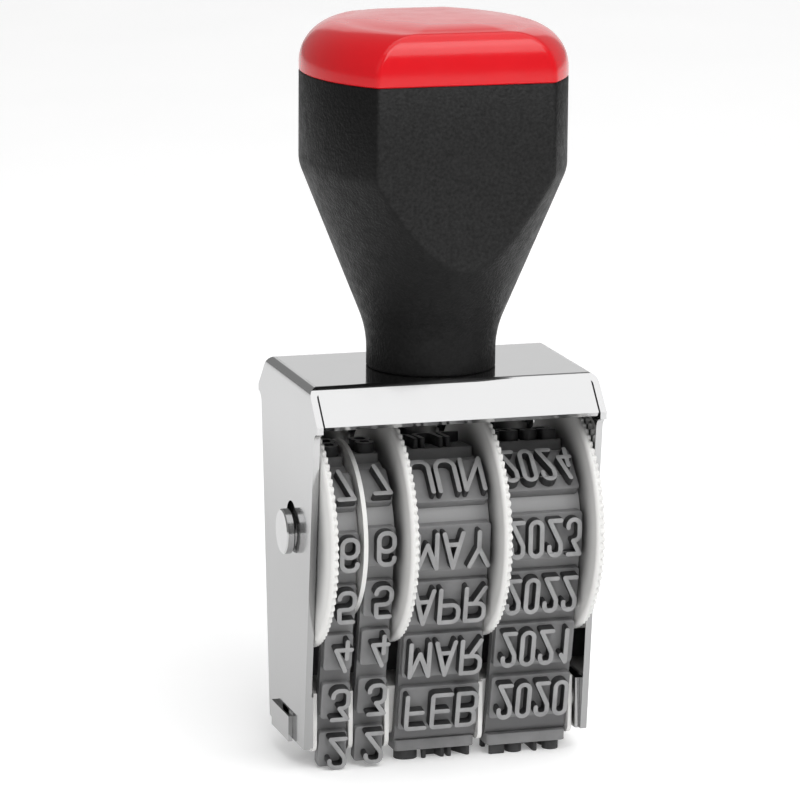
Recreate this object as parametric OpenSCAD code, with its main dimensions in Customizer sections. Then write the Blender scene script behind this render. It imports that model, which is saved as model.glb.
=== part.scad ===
// Hand date stamp: four rubber type bands run over thumbwheels on one axle and
// over a bridge at the foot of a bent sheet frame, with a moulded handle on top.
// Z = 0 is the plane of the printing faces, +Y is away from the person who stamps.

/* [Frame] */
// Outside width across the two side plates
frame_w = 34; // [31:0.5:40]
// Thickness of the frame sheet
sheet_t = 0.75; // [0.6:0.05:0.9]
// Height of the top plate's upper face above the printing plane
frame_h = 45.4; // [44.8:0.1:50]
// Outer radius of the bends at the top plate's four edges
bend_r = 1.1; // [1:0.1:2]
// Depth of the flat top plate
top_d = 18; // [17:0.5:20]
// Depth of the frame across the lips of the two sloping hoods
hood_d = 25.4; // [24.4:0.2:28]
// How far the hood lips lie below the top plate
hood_drop = 3.9; // [3:0.1:4.6]
// Cut between each end of a hood and the side plate
hood_gap = 0.2; // [0.1:0.05:0.4]
// Straight edge of a side plate under the hood lip
lip_h = 0.8; // [0.4:0.1:1.5]
// Depth of a side plate just below its hood lips
plate_neck_d = 22.6; // [22:0.1:23.6]
// Depth of a side plate at its foot
plate_foot_d = 15; // [14:0.2:17]
// Height of a side plate's foot above the printing plane
plate_foot_z = 2.9; // [2.4:0.1:3.6]
// Height of the rear hood's turned-in lip above the printing plane
rear_lip_z = 33.2; // [33:0.2:38]
// How far that lip leans in under its hood
rear_lip_in = 1.3; // [1:0.1:1.6]
// How far the middle of the frame lies behind the axle
frame_y = 2; // [1:0.1:3]

/* [Axle] */
// Height of the axle above the printing plane
axle_z = 27.3; // [26:0.1:27.6]
// Diameter of the axle
axle_d = 3; // [2.6:0.1:3.6]
// Wall of the bush sleeve that lines the hole in a side plate
sleeve_t = 0.5; // [0.4:0.05:0.6]
// How far a bush stands out of its side plate
bush_out = 0.15; // [0.1:0.05:0.4]
// Diameter of the axle's two heads
head_d = 5.2; // [5:0.1:7]
// Chamfer on the edges of the heads
head_edge = 0.15; // [0.1:0.05:0.3]
// Groove left between a bush and the axle head
groove_l = 0.05; // [0.05:0.05:0.4]
// Length of an axle head
head_l = 1; // [0.9:0.1:2]
// How far the axle reaches into its pressed-on right head
cap_seat = 0.6; // [0.4:0.1:0.7]
// Diameter of the notch over each bush, through which the axle is dropped in
notch_d = 4.4; // [3.6:0.2:4.8]
// How far the middle of that notch lies above the axle
notch_up = 1.3; // [1:0.1:1.6]
// Radial play of a thumbwheel on the axle
run_fit = 0.05; // [0.02:0.01:0.1]
// Radial play of a pin or sleeve that stays still in its hole
still_fit = 0.02; // [0.01:0.01:0.05]

/* [Thumbwheels] */
// Diameter over the serrated rims
wheel_d = 26.8; // [25:0.1:27.4]
// Width of a serrated rim
rim_w = 1; // [0.8:0.05:1.2]
// Number of serrations round a rim
tooth_n = 86; // [60:2:110]
// Depth of a serration
tooth_h = 0.35; // [0.2:0.05:0.5]
// Diameter of the drums that carry the bands
drum_d = 13.6; // [12.6:0.1:14.4]
// Diameter of the plain disc between the two day bands
divider_d = 20.4; // [20:0.2:25]
// Thickness of the plain disc between the two day bands
divider_t = 0.5; // [0.4:0.05:0.7]
// Side gap between neighbouring rims, bands and plates
side_gap = 0.12; // [0.1:0.01:0.2]

/* [Bands] */
// Width of each of the two day bands
day_band_w = 3.55; // [3.4:0.05:3.9]
// Gap between the units band and the rim beside it
units_gap = 0.4; // [0.1:0.05:0.6]
// Thickness of the bare band
band_t = 1; // [0.8:0.05:1.2]
// Gap between a drum and the band that runs over it
band_gap = 0.3; // [0.2:0.05:0.5]
// Height of the pads above the bare band
pad_h = 0.8; // [0.6:0.05:1]
// Height of the type above its pad
type_h = 1.2; // [0.9:0.05:1.4]
// Bare length between two pads of a day band
day_split = 1.7; // [1.6:0.1:1.8]
// Bare length between two pads of the month and year bands
word_split = 1.3; // [1.2:0.1:1.8]
// How far a pad stays inside the edges of its band
pad_inset = 0.1; // [0.05:0.05:0.3]
// Number of characters round a day band
day_rows = 13; // [12:1:14]
// Number of words round the month band and the year band
word_rows = 12; // [12:1:13]
// Where the tens band stands, as a share of one row's length
tens_step = 0.47; // [0.47:0.01:0.54]
// Where the units band stands, as a share of one row's length
units_step = 0.53; // [0.47:0.01:0.54]
// Where the month band stands, as a share of one row's length
month_step = 0.1; // [0:0.01:0.15]
// Where the year band stands, as a share of one row's length
year_step = 0.18; // [0:0.01:0.2]
// How far the day bands' type stands to the right of the middle of its pads
day_type_shift = 0.3; // [0:0.05:0.4]

/* [Type] */
// Height of the day bands' characters
day_type_size = 4.2; // [3.6:0.1:4.2]
// Height of the month and year bands' characters
word_type_size = 4.6; // [3.6:0.1:4.8]
// Width of a character's strokes
stroke_w = 0.56; // [0.4:0.02:0.7]
// Width of a day digit, between its outer stroke lines
day_char_w = 1.8; // [1.2:0.1:2]
// Width of a month letter, between its outer stroke lines
month_char_w = 2.2; // [1.8:0.1:2.3]
// Step from one month letter to the next
month_char_step = 3.05; // [2.95:0.05:3.1]
// Width of a year digit, between its outer stroke lines
year_char_w = 1.35; // [1:0.05:1.5]
// Step from one year digit to the next
year_char_step = 2.25; // [2.15:0.05:2.3]
// Oldest year on the year band
first_year = 2019; // [2000:1:2080]

/* [Bridge] */
// Depth of the bridge's foot, over which the bands turn
bridge_d = 4.8; // [4:0.1:5.4]
// Depth of the bridge at its top
bridge_top_d = 6.6; // [6:0.1:7]
// Height of the bridge
bridge_h = 6; // [5:0.1:7]
// Radius of the bridge's lower edges
bridge_r = 0.6; // [0.4:0.05:1]
// Gap between the bridge and the bands
bridge_gap = 0.1; // [0.05:0.05:0.2]
// How far the guide ribs reach past the bridge's foot, front and back
rib_out = 1.9; // [1.2:0.1:2.2]
// Radius of the guide ribs' lower corners
rib_r = 1.2; // [0.8:0.1:1.6]
// Greatest thickness of a guide rib
rib_t = 0.5; // [0.3:0.05:0.6]
// Gap between a guide rib and the band beside it
rib_gap = 0.1; // [0.05:0.01:0.2]
// Diameter of the pins on the bridge's two ends
bridge_pin_d = 2; // [1.6:0.1:2.4]

/* [Bridge clips] */
// Thickness of the spring clips that hold the bridge
clip_t = 0.5; // [0.4:0.05:0.55]
// Height of a clip's outer leg above the side plate's foot
clip_leg_h = 2.7; // [2.4:0.1:3.4]
// Depth of a clip's outer leg
clip_leg_d = 7.5; // [6:0.1:8.5]
// How far a clip's outer leg hangs below the side plate's foot
clip_drop = 0.3; // [0:0.1:0.5]
// Place of the clip's slit along Y
slit_y = -0.5; // [-1:0.1:0]
// Height of the cut above a clip's outer leg
slot_h = 0.4; // [0.2:0.1:0.8]
// Depth of that cut
slot_d = 4.5; // [3:0.1:6]
// Height of a clip's inner leg
clip_inner_h = 6; // [5.5:0.1:6.5]
// Play of a clip in the slit of its side plate
slit_gap = 0.1; // [0.05:0.05:0.2]

/* [Handle] */
// Width of the grip across its rounded sides
grip_w = 30; // [26:0.5:36]
// How far the grip's flat front and back stand out beyond the hood lips
grip_over = 0.3; // [0:0.1:1]
// Radius of the grip's rounded sides
grip_side_r = 20.3; // [18:0.1:28]
// Height of the grip's upright part under the cap
grip_h = 10.5; // [8:0.1:14]
// Height of the taper from the neck to the grip
taper_h = 19.1; // [15:0.1:24]
// Diameter of the neck
neck_d = 14.8; // [13:0.2:17]
// Height of the neck's upright part
neck_h = 4.2; // [3:0.1:6]
// Diameter of the hollow under the cap
hollow_d = 19; // [17:0.2:20]
// Depth of the hollow under the cap
hollow_h = 12; // [9:0.5:13]

/* [Cap] */
// Height of the cap
cap_h = 6.2; // [6:0.1:8]
// How far the cap's top edge draws in at its rounded sides
cap_round = 5; // [3:0.1:6]
// How far the cap's top edge draws in at its flat front and back
cap_flat_round = 2; // [1:0.1:4]
// Height of the cap's rounded top edge
cap_round_h = 4.8; // [3:0.1:5.2]
// Rise of the cap's top over its rounded edge
cap_crown = 0.5; // [0.2:0.1:1]
// Length of the ring under the cap that plugs the handle's hollow
plug_l = 5; // [3:0.5:7]
// Wall of the plug ring
plug_t = 1.5; // [1:0.1:2]
// Radial play of the plug ring
plug_fit = 0.05; // [0.02:0.01:0.1]

/* [Handle screw] */
// Diameter of the screw that holds the handle
screw_d = 3.8; // [3:0.1:4.5]
// Length of the screw under its head
screw_l = 16; // [12:0.5:17]
// Diameter of the screw's head
screw_head_d = 7; // [6:0.1:8]
// Height of the screw's head
screw_head_h = 1.8; // [1.2:0.1:2]
// Width of the slot in the screw's head
screw_slot_w = 1; // [0.8:0.1:1.2]
// Depth of the slot in the screw's head
screw_slot_h = 0.8; // [0.5:0.1:1]
// Diameter of the washer under the top plate
washer_d = 9; // [8.4:0.1:10]
// Thickness of the washer
washer_t = 0.6; // [0.4:0.05:0.8]
// Radial play of the screw in the plate and the washer
screw_play = 0.2; // [0.1:0.05:0.3]

/* [Hidden] */

// Colours of the finished pieces
nickel = [0.8, 0.8, 0.82];
steel = [0.6, 0.61, 0.63];
black_plastic = [0.07, 0.07, 0.08];
red_plastic = [0.85, 0.1, 0.12];
white_plastic = [0.93, 0.93, 0.91];
grey_rubber = [0.42, 0.42, 0.43];

// Sides of a true circle, sides of a circle inside a hull, and steps of a rounded edge
round_n = 96;
hull_n = 48;
edge_steps = 5;
// Extra length of a cutting shape past the face that it opens
past = 1;

// The stack across the axle, left to right
inner_w = frame_w - 2 * sheet_t;
rims = 4;
stack_gaps = 9;
word_band_w = (inner_w - rims * rim_w - divider_t - 2 * day_band_w - units_gap - stack_gaps * side_gap) / 2;
x_tens_rim = side_gap - inner_w / 2;
x_tens_band = x_tens_rim + rim_w + side_gap;
x_divider = x_tens_band + day_band_w + side_gap;
x_units_band = x_divider + divider_t + side_gap;
x_units_rim = x_units_band + day_band_w + units_gap;
x_month_band = x_units_rim + rim_w + side_gap;
x_month_rim = x_month_band + word_band_w + side_gap;
x_year_band = x_month_rim + rim_w + side_gap;
x_year_rim = x_year_band + word_band_w + side_gap;

// The bush hole in a side plate and the ends of the axle
sleeve_d = axle_d + 2 * still_fit + 2 * sleeve_t;
x_head = frame_w / 2 + bush_out + groove_l;

// The path of a band: round the drum, down the front, under the bridge and up the back
bare_z = type_h + pad_h;
bridge_z = bare_z + band_t + bridge_gap;
turn_y = bridge_d / 2 - bridge_r;
turn_z = bridge_z + bridge_r;
drum_in_r = drum_d / 2 + band_gap;
turn_in_r = bridge_r + bridge_gap;
path_drop = axle_z - turn_z;
lean = asin((drum_in_r - turn_in_r) / norm([turn_y, path_drop])) - atan2(turn_y, path_drop);
drum_mid_r = drum_in_r + band_t / 2;
turn_mid_r = turn_in_r + band_t / 2;
foot_half = turn_y + turn_mid_r * (1 - sin(lean)) / cos(lean);
foot_mid_z = turn_z - turn_mid_r;
drum_touch = [-drum_mid_r * cos(lean), axle_z - drum_mid_r * sin(lean)];
run_l = norm(drum_touch - [-foot_half, foot_mid_z]);
arc_l = drum_mid_r * (180 + 2 * lean) * PI / 180;
loop_l = 2 * foot_half + 2 * run_l + arc_l;

// Place and outward direction of a row at length s along the path, from the foot up the front
function wrap(s) = s - loop_l * floor(s / loop_l);
function row_at(s) =
    s < foot_half ? [-s, foot_mid_z, 270] :
    s < foot_half + run_l ?
        [-foot_half - (s - foot_half) * sin(lean), foot_mid_z + (s - foot_half) * cos(lean), 180 + lean] :
    s < foot_half + run_l + arc_l ? on_drum(180 + lean - (s - foot_half - run_l) / drum_mid_r * 180 / PI) :
    s < loop_l - foot_half ?
        [foot_half + (loop_l - foot_half - s) * sin(lean),
         foot_mid_z + (loop_l - foot_half - s) * cos(lean), -lean] :
    [loop_l - s, foot_mid_z, 270];
function on_drum(turn) = [drum_mid_r * cos(turn), axle_z + drum_mid_r * sin(turn), turn];

// Characters as stroke lines on a grid 2 wide and 4 high
GLYPHS = [
    ["0", [[[0, 0], [2, 0], [2, 4], [0, 4], [0, 0]]]],
    ["1", [[[0.4, 3], [1.2, 4], [1.2, 0]]]],
    ["2", [[[0, 3], [0, 4], [2, 4], [2, 2.6], [0, 0], [2, 0]]]],
    ["3", [[[0, 4], [2, 4], [0.9, 2.3], [2, 2.3], [2, 0], [0, 0], [0, 0.8]]]],
    ["4", [[[1.2, 4], [0, 1.2], [2, 1.2]], [[1.5, 2.3], [1.5, 0]]]],
    ["5", [[[2, 4], [0, 4], [0, 2.3], [2, 2.3], [2, 0], [0, 0]]]],
    ["6", [[[2, 3.2], [2, 4], [0, 4], [0, 0], [2, 0], [2, 2.3], [0, 2.3]]]],
    ["7", [[[0, 4], [2, 4], [0.6, 0]]]],
    ["8", [[[0, 0], [2, 0], [2, 4], [0, 4], [0, 0]], [[0, 2.1], [2, 2.1]]]],
    ["9", [[[0, 0.8], [0, 0], [2, 0], [2, 4], [0, 4], [0, 1.8], [2, 1.8]]]],
    ["A", [[[0, 0], [1, 4], [2, 0]], [[0.5, 1.2], [1.5, 1.2]]]],
    ["B", [[[0, 0], [2, 0], [2, 2], [0, 2]], [[0, 0], [0, 4], [1.7, 4], [1.7, 2]]]],
    ["C", [[[2, 0.9], [2, 0], [0, 0], [0, 4], [2, 4], [2, 3.1]]]],
    ["D", [[[0, 0], [1.3, 0], [2, 0.9], [2, 3.1], [1.3, 4], [0, 4], [0, 0]]]],
    ["E", [[[2, 0], [0, 0], [0, 4], [2, 4]], [[0, 2], [1.6, 2]]]],
    ["F", [[[0, 0], [0, 4], [2, 4]], [[0, 2], [1.6, 2]]]],
    ["G", [[[2, 3.1], [2, 4], [0, 4], [0, 0], [2, 0], [2, 1.9], [1.1, 1.9]]]],
    ["J", [[[0, 0.9], [0, 0], [2, 0], [2, 4]]]],
    ["L", [[[0, 4], [0, 0], [2, 0]]]],
    ["M", [[[0, 0], [0, 4], [1, 1.4], [2, 4], [2, 0]]]],
    ["N", [[[0, 0], [0, 4], [2, 0], [2, 4]]]],
    ["O", [[[0, 0], [2, 0], [2, 4], [0, 4], [0, 0]]]],
    ["P", [[[0, 0], [0, 4], [2, 4], [2, 1.9], [0, 1.9]]]],
    ["R", [[[0, 0], [0, 4], [2, 4], [2, 1.9], [0, 1.9]], [[1, 1.9], [2, 0]]]],
    ["S", [[[0, 0.9], [0, 0], [2, 0], [2, 2], [0, 2], [0, 4], [2, 4], [2, 3.1]]]],
    ["T", [[[0, 4], [2, 4]], [[1, 4], [1, 0]]]],
    ["U", [[[0, 4], [0, 0], [2, 0], [2, 4]]]],
    ["V", [[[0, 4], [1, 0], [2, 4]]]],
    ["Y", [[[0, 4], [1, 1.9], [2, 4]], [[1, 1.9], [1, 0]]]]
];
grid_cols = 2;
grid_rows = 4;
MONTHS = ["JAN", "FEB", "MAR", "APR", "MAY", "JUN", "JUL", "AUG", "SEP", "OCT", "NOV", "DEC"];
first_day_digit = 2;
digits = 10;
function strokes(c) = [for (g = GLYPHS) if (g[0] == c) g[1]][0];
function day_text(k) = (first_day_digit + k) % day_rows < digits ? str((first_day_digit + k) % day_rows) : "";
function month_text(k) = k < len(MONTHS) ? MONTHS[k] : "";
function year_text(k) = str(first_year + k);

// Heights up the handle and the grip's section
grip_z = frame_h + neck_h + taper_h;
cap_z = grip_z + grip_h;
grip_side_x = grip_side_r - grip_w / 2;
grip_d = hood_d + 2 * grip_over;

// The frame's slope and the clips in its side plates
hood_reach = (hood_d - top_d) / 2;
hood_slope = atan2(hood_drop, hood_reach);
hood_z = frame_h - hood_drop;
hood_bend_l = bend_r * tan(hood_slope / 2);
hood_bend_y = top_d / 2 - hood_bend_l;
hood_bend_z = frame_h - bend_r;
neck_round = (hood_d - plate_neck_d) / 2;
neck_z = hood_z - lip_h - neck_round;
plate_front = frame_y - plate_foot_d / 2;
clip_x = inner_w / 2 - clip_t;
bridge_l = 2 * (clip_x - rib_gap);
pin_z = bridge_z + bridge_h / 2;
pin_y = (plate_front - clip_t) / 2;

// An outline in the plane across the axle, as deep along X as l, from x
module along_x(x, l) {
    translate([x, 0, 0])
        rotate([90, 0, 90])
            linear_extrude(l)
                children();
}

// A round bar along the axle's direction
module bar(x, l, d, y = 0, z = axle_z) {
    along_x(x, l)
        translate([y, z])
            circle(d = d, $fn = round_n);
}

// A head of the axle, with both its edges chamfered
module end_head(x, l) {
    translate([x, 0, axle_z])
        rotate([0, 90, 0])
            rotate_extrude($fn = round_n)
                polygon([[0, 0], [head_d / 2 - head_edge, 0], [head_d / 2, head_edge],
                         [head_d / 2, l - head_edge], [head_d / 2 - head_edge, l], [0, l]]);
}

// A copy of the children on the left and on the right
module both_sides() {
    children();
    mirror([1, 0, 0])
        children();
}

// A plate outline with two rounded upper corners
module arch(w, h, r) {
    translate([-w / 2, 0])
        square([w, h - r]);
    translate([r - w / 2, 0])
        square([w - 2 * r, h]);
    for (side = [-1, 1])
        translate([side * (w / 2 - r), h - r])
            circle(r, $fn = round_n);
}

// The frame seen from the front: a top plate and two side plates from one sheet
module channel_section() {
    difference() {
        arch(frame_w, frame_h, bend_r);
        arch(inner_w, frame_h - sheet_t, bend_r - sheet_t);
        translate([-frame_w / 2 - past, -past])
            square([frame_w + 2 * past, plate_foot_z + past]);
    }
}

// The outline of a side plate seen from the side
module plate_outline() {
    half = [[hood_bend_y, frame_h],
            [hood_bend_y + bend_r * sin(hood_slope), hood_bend_z + bend_r * cos(hood_slope)],
            [hood_d / 2, hood_z], [hood_d / 2, neck_z],
            [plate_neck_d / 2, neck_z], [plate_foot_d / 2, plate_foot_z]];
    corners = len(half);
    translate([frame_y, 0])
        difference() {
            union() {
                polygon(concat([for (p = half) [-p[0], p[1]]],
                               [for (i = [corners - 1:-1:0]) half[i]]));
                for (side = [-1, 1])
                    translate([side * hood_bend_y, hood_bend_z])
                        circle(bend_r, $fn = round_n);
            }
            for (side = [-1, 1])
                translate([side * hood_d / 2, neck_z])
                    circle(neck_round, $fn = round_n);
        }
}

// One sloping hood, as its sheet section bent down from the top plate's edge
module hood_section() {
    root = top_d / 4;
    wedge = 2 * bend_r;
    translate([root, frame_h - sheet_t])
        square([hood_bend_y - root, sheet_t]);
    translate([hood_bend_y, hood_bend_z]) {
        intersection() {
            difference() {
                circle(bend_r, $fn = round_n);
                circle(bend_r - sheet_t, $fn = round_n);
            }
            polygon([[0, 0], [0, wedge], [wedge, wedge], wedge * [sin(hood_slope), cos(hood_slope)]]);
        }
        rotate(-hood_slope)
            translate([0, bend_r - sheet_t])
                square([norm([hood_reach, hood_drop]) - hood_bend_l, sheet_t]);
    }
}

// The lip that is turned down and in from the rear hood's edge
module rear_lip_section() {
    root = [hood_d / 2 - sheet_t, hood_z + sheet_t / 3];
    foot = [root[0] - rear_lip_in, rear_lip_z];
    polygon([root, root + [sheet_t / 2, 0], foot + [sheet_t / 2, 0], foot]);
}

module frame() {
    hood_w = inner_w - 2 * hood_gap;
    slit_w = clip_t + 2 * slit_gap;
    color(nickel) {
        difference() {
            intersection() {
                translate([0, frame_y, 0])
                    rotate([90, 0, 0])
                        linear_extrude(hood_d, center = true)
                            channel_section();
                along_x(-frame_w / 2, frame_w)
                    plate_outline();
            }
            for (side = [0, 1])
                translate([-hood_w / 2, frame_y, hood_bend_z])
                    mirror([0, side, 0])
                        translate([0, hood_bend_y, 0])
                            cube([hood_w, hood_d, bend_r + past]);
            translate([0, frame_y, frame_h - sheet_t - past])
                cylinder(h = sheet_t + 2 * past, d = screw_d + 2 * screw_play, $fn = round_n);
            bar(-frame_w / 2 - past, frame_w + 2 * past, sleeve_d + 2 * still_fit);
            bar(-frame_w / 2 - past, frame_w + 2 * past, notch_d, 0, axle_z + notch_up);
            both_sides()
                translate([inner_w / 2 - past, slit_y - slit_w / 2, plate_foot_z - past]) {
                    cube([sheet_t + 2 * past, slit_w, clip_leg_h + slot_h + past]);
                    translate([0, 0, clip_leg_h + past])
                        cube([sheet_t + 2 * past, slot_d, slot_h]);
                }
        }
        translate([0, frame_y, 0])
            along_x(-hood_w / 2, hood_w) {
                hood_section();
                rear_lip_section();
            }
        translate([0, frame_y, 0])
            mirror([0, 1, 0])
                along_x(-hood_w / 2, hood_w)
                    hood_section();
    }
}

// The grip's section, with its rounded sides and its flats drawn in by the given amounts
module grip_section(side_in = 0, flat_in = 0) {
    intersection() {
        lens_section(side_in);
        square([grip_w, grip_d - 2 * flat_in], center = true);
    }
}

// The overlap of two large circles, whose sides are the grip's rounded sides
module lens_section(inset = 0) {
    intersection() {
        translate([-grip_side_x, 0])
            circle(grip_side_r - inset, $fn = round_n);
        translate([grip_side_x, 0])
            circle(grip_side_r - inset, $fn = round_n);
    }
}

module handle() {
    slice = 0.01;
    color(black_plastic)
        translate([0, frame_y, 0])
            difference() {
                union() {
                    translate([0, 0, frame_h])
                        cylinder(h = neck_h, d = neck_d, $fn = round_n);
                    intersection() {
                        hull() {
                            translate([0, 0, frame_h + neck_h - slice])
                                cylinder(h = slice, d = neck_d, $fn = hull_n);
                            translate([0, 0, grip_z])
                                linear_extrude(slice)
                                    lens_section();
                        }
                        translate([-grip_w / 2, -grip_d / 2, frame_h])
                            cube([grip_w, grip_d, grip_z + slice - frame_h]);
                    }
                    translate([0, 0, grip_z])
                        linear_extrude(grip_h)
                            grip_section();
                }
                translate([0, 0, cap_z - hollow_h])
                    cylinder(h = hollow_h + past, d = hollow_d, $fn = round_n);
                translate([0, 0, frame_h - past])
                    cylinder(h = screw_l + past, d = screw_d + 2 * still_fit, $fn = round_n);
            }
}

module cap() {
    slice = 0.01;
    straight_h = cap_h - cap_crown - cap_round_h;
    plug_d = hollow_d - 2 * plug_fit;
    color(red_plastic)
        translate([0, frame_y, cap_z]) {
            hull() {
                linear_extrude(straight_h)
                    grip_section();
                for (i = [1:edge_steps])
                    translate([0, 0, straight_h + cap_round_h * sin(90 * i / edge_steps) - slice])
                        linear_extrude(slice)
                            grip_section(cap_round * (1 - cos(90 * i / edge_steps)),
                                         cap_flat_round * (1 - cos(90 * i / edge_steps)));
                translate([0, 0, cap_h - slice])
                    linear_extrude(slice)
                        grip_section(2 * cap_round, 3 * cap_flat_round);
            }
            translate([0, 0, -plug_l])
                difference() {
                    cylinder(h = plug_l + slice, d = plug_d, $fn = round_n);
                    translate([0, 0, -past])
                        cylinder(h = plug_l + past, d = plug_d - 2 * plug_t, $fn = round_n);
                }
        }
}

module handle_screw() {
    head_z = frame_h - sheet_t - washer_t - screw_head_h;
    color(steel)
        translate([0, frame_y, head_z])
            difference() {
                union() {
                    cylinder(h = screw_head_h, d = screw_head_d, $fn = round_n);
                    cylinder(h = screw_head_h + screw_l, d = screw_d, $fn = round_n);
                }
                translate([-screw_head_d, -screw_slot_w / 2, -past])
                    cube([2 * screw_head_d, screw_slot_w, screw_slot_h + past]);
            }
}

module screw_washer() {
    color(steel)
        translate([0, frame_y, frame_h - sheet_t - washer_t])
            difference() {
                cylinder(h = washer_t, d = washer_d, $fn = round_n);
                translate([0, 0, -past])
                    cylinder(h = washer_t + 2 * past, d = screw_d + 2 * screw_play, $fn = round_n);
            }
}

module axle() {
    color(nickel) {
        end_head(-x_head - head_l, head_l);
        bar(-x_head - head_l, head_l + 2 * x_head + cap_seat, axle_d);
    }
}

// A plain bush, pressed into the side plate's hole
module axle_bush() {
    difference() {
        bar(inner_w / 2, sheet_t + bush_out, sleeve_d);
        bar(inner_w / 2 - past, sheet_t + bush_out + 2 * past, axle_d + 2 * still_fit);
    }
}

module left_axle_bush() {
    color(nickel)
        mirror([1, 0, 0])
            axle_bush();
}

module right_axle_bush() {
    color(nickel)
        axle_bush();
}

module axle_cap() {
    color(nickel)
        difference() {
            end_head(x_head, head_l);
            bar(x_head - past, cap_seat + past, axle_d + 2 * still_fit);
        }
}

// The serrated outline of a thumbwheel's rim
module rim_outline() {
    tip_r = wheel_d / 2;
    root_r = tip_r - tooth_h;
    step = 360 / tooth_n;
    flank = 0.3;
    corners = [[0, root_r], [0.5 - flank, root_r], [0.5, tip_r], [1 - flank, tip_r]];
    translate([0, axle_z])
        polygon([for (i = [0:tooth_n - 1], c = corners)
                 c[1] * [cos((i + c[0]) * step), sin((i + c[0]) * step)]]);
}

// A thumbwheel: a serrated rim at rim_x and a drum from drum_x, drum_l long, in one moulding
module thumbwheel(rim_x, drum_x, drum_l) {
    color(white_plastic)
        difference() {
            union() {
                along_x(rim_x, rim_w)
                    rim_outline();
                bar(drum_x, drum_l, drum_d);
            }
            bar(-frame_w, 2 * frame_w, axle_d + 2 * run_fit);
        }
}

module tens_wheel() {
    thumbwheel(x_tens_rim, x_tens_rim, x_divider - x_tens_rim);
}

module day_divider() {
    color(white_plastic)
        difference() {
            bar(x_divider, divider_t, divider_d);
            bar(x_divider - past, divider_t + 2 * past, axle_d + 2 * run_fit);
        }
}

module units_wheel() {
    thumbwheel(x_units_rim, x_units_band, x_units_rim + rim_w - x_units_band);
}

module month_wheel() {
    thumbwheel(x_month_rim, x_month_band, x_month_rim + rim_w - x_month_band);
}

module year_wheel() {
    thumbwheel(x_year_rim, x_year_band, x_year_rim + rim_w - x_year_band);
}

// The closed outline of a band's path, grown outwards by the given amount
module loop_outline(grow) {
    drum_r = drum_in_r + grow;
    turn_r = turn_in_r + grow;
    front = [[-drum_r * cos(lean), axle_z - drum_r * sin(lean)],
             [-turn_y - turn_r * cos(lean), turn_z - turn_r * sin(lean)],
             [-turn_y, turn_z - turn_r]];
    polygon([for (i = [0:2]) front[i], for (i = [2:-1:0]) [-front[i][0], front[i][1]]]);
    translate([0, axle_z])
        circle(drum_r, $fn = round_n);
    for (side = [-1, 1])
        translate([side * turn_y, turn_z])
            circle(turn_r, $fn = round_n);
}

// The children laid on the band at length s along its path
module on_path(s) {
    p = row_at(wrap(s));
    translate([0, p[0], p[1]])
        rotate([p[2] - 90, 0, 0])
            children();
}

// One character of the given width, as type that prints the right way round
module character(c, w, size) {
    unit = [w / grid_cols, (size - stroke_w) / grid_rows];
    for (line = strokes(c), i = [0:len(line) - 2]) {
        a = [(line[i][0] - grid_cols / 2) * unit[0], (grid_rows / 2 - line[i][1]) * unit[1]];
        b = [(line[i + 1][0] - grid_cols / 2) * unit[0], (grid_rows / 2 - line[i + 1][1]) * unit[1]];
        translate(a)
            rotate(atan2(b[1] - a[1], b[0] - a[0]))
                translate([-stroke_w / 2, -stroke_w / 2])
                    square([norm(b - a) + stroke_w, stroke_w]);
    }
}

// A word of raised type, standing on its pad
module type_row(word, step, char_w, size) {
    pad_top = band_t / 2 + pad_h;
    if (len(word) > 0)
        translate([0, 0, pad_top - pad_inset])
            linear_extrude(type_h + pad_inset)
                for (i = [0:len(word) - 1])
                    translate([(i - (len(word) - 1) / 2) * step, 0])
                        character(word[i], char_w, size);
}

// A bare band with a pad for each row
module padded_band(x, w, rows, shift, split) {
    pitch = loop_l / rows;
    pad_l = pitch - split;
    difference() {
        along_x(x, w)
            loop_outline(band_t);
        along_x(x - past, w + 2 * past)
            loop_outline(0);
    }
    for (k = [0:rows - 1])
        on_path((k + shift) * pitch)
            translate([x + pad_inset, -pad_l / 2, 0])
                cube([w - 2 * pad_inset, pad_l, band_t / 2 + pad_h]);
}

module day_band(x, step) {
    color(grey_rubber) {
        padded_band(x, day_band_w, day_rows, step, day_split);
        for (k = [0:day_rows - 1])
            on_path((k + step) * loop_l / day_rows)
                translate([x + day_band_w / 2 + day_type_shift, 0, 0])
                    type_row(day_text(k), day_char_w, day_char_w, day_type_size);
    }
}

module tens_band() {
    day_band(x_tens_band, tens_step);
}

module units_band() {
    day_band(x_units_band, units_step);
}

module month_band() {
    color(grey_rubber) {
        padded_band(x_month_band, word_band_w, word_rows, month_step, word_split);
        for (k = [0:word_rows - 1])
            on_path((k + month_step) * loop_l / word_rows)
                translate([x_month_band + word_band_w / 2, 0, 0])
                    type_row(month_text(k), month_char_step, month_char_w, word_type_size);
    }
}

module year_band() {
    color(grey_rubber) {
        padded_band(x_year_band, word_band_w, word_rows, year_step, word_split);
        for (k = [0:word_rows - 1])
            on_path((k + year_step) * loop_l / word_rows)
                translate([x_year_band + word_band_w / 2, 0, 0])
                    type_row(year_text(k), year_char_step, year_char_w, word_type_size);
    }
}

// The bridge's core, inside the four bands
module bridge_section() {
    polygon([[-turn_y, bridge_z], [-bridge_d / 2, turn_z], [-bridge_top_d / 2, bridge_z + bridge_h],
             [bridge_top_d / 2, bridge_z + bridge_h], [bridge_d / 2, turn_z], [turn_y, bridge_z]]);
    for (side = [-1, 1])
        translate([side * turn_y, turn_z])
            circle(bridge_r, $fn = round_n);
}

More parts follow.
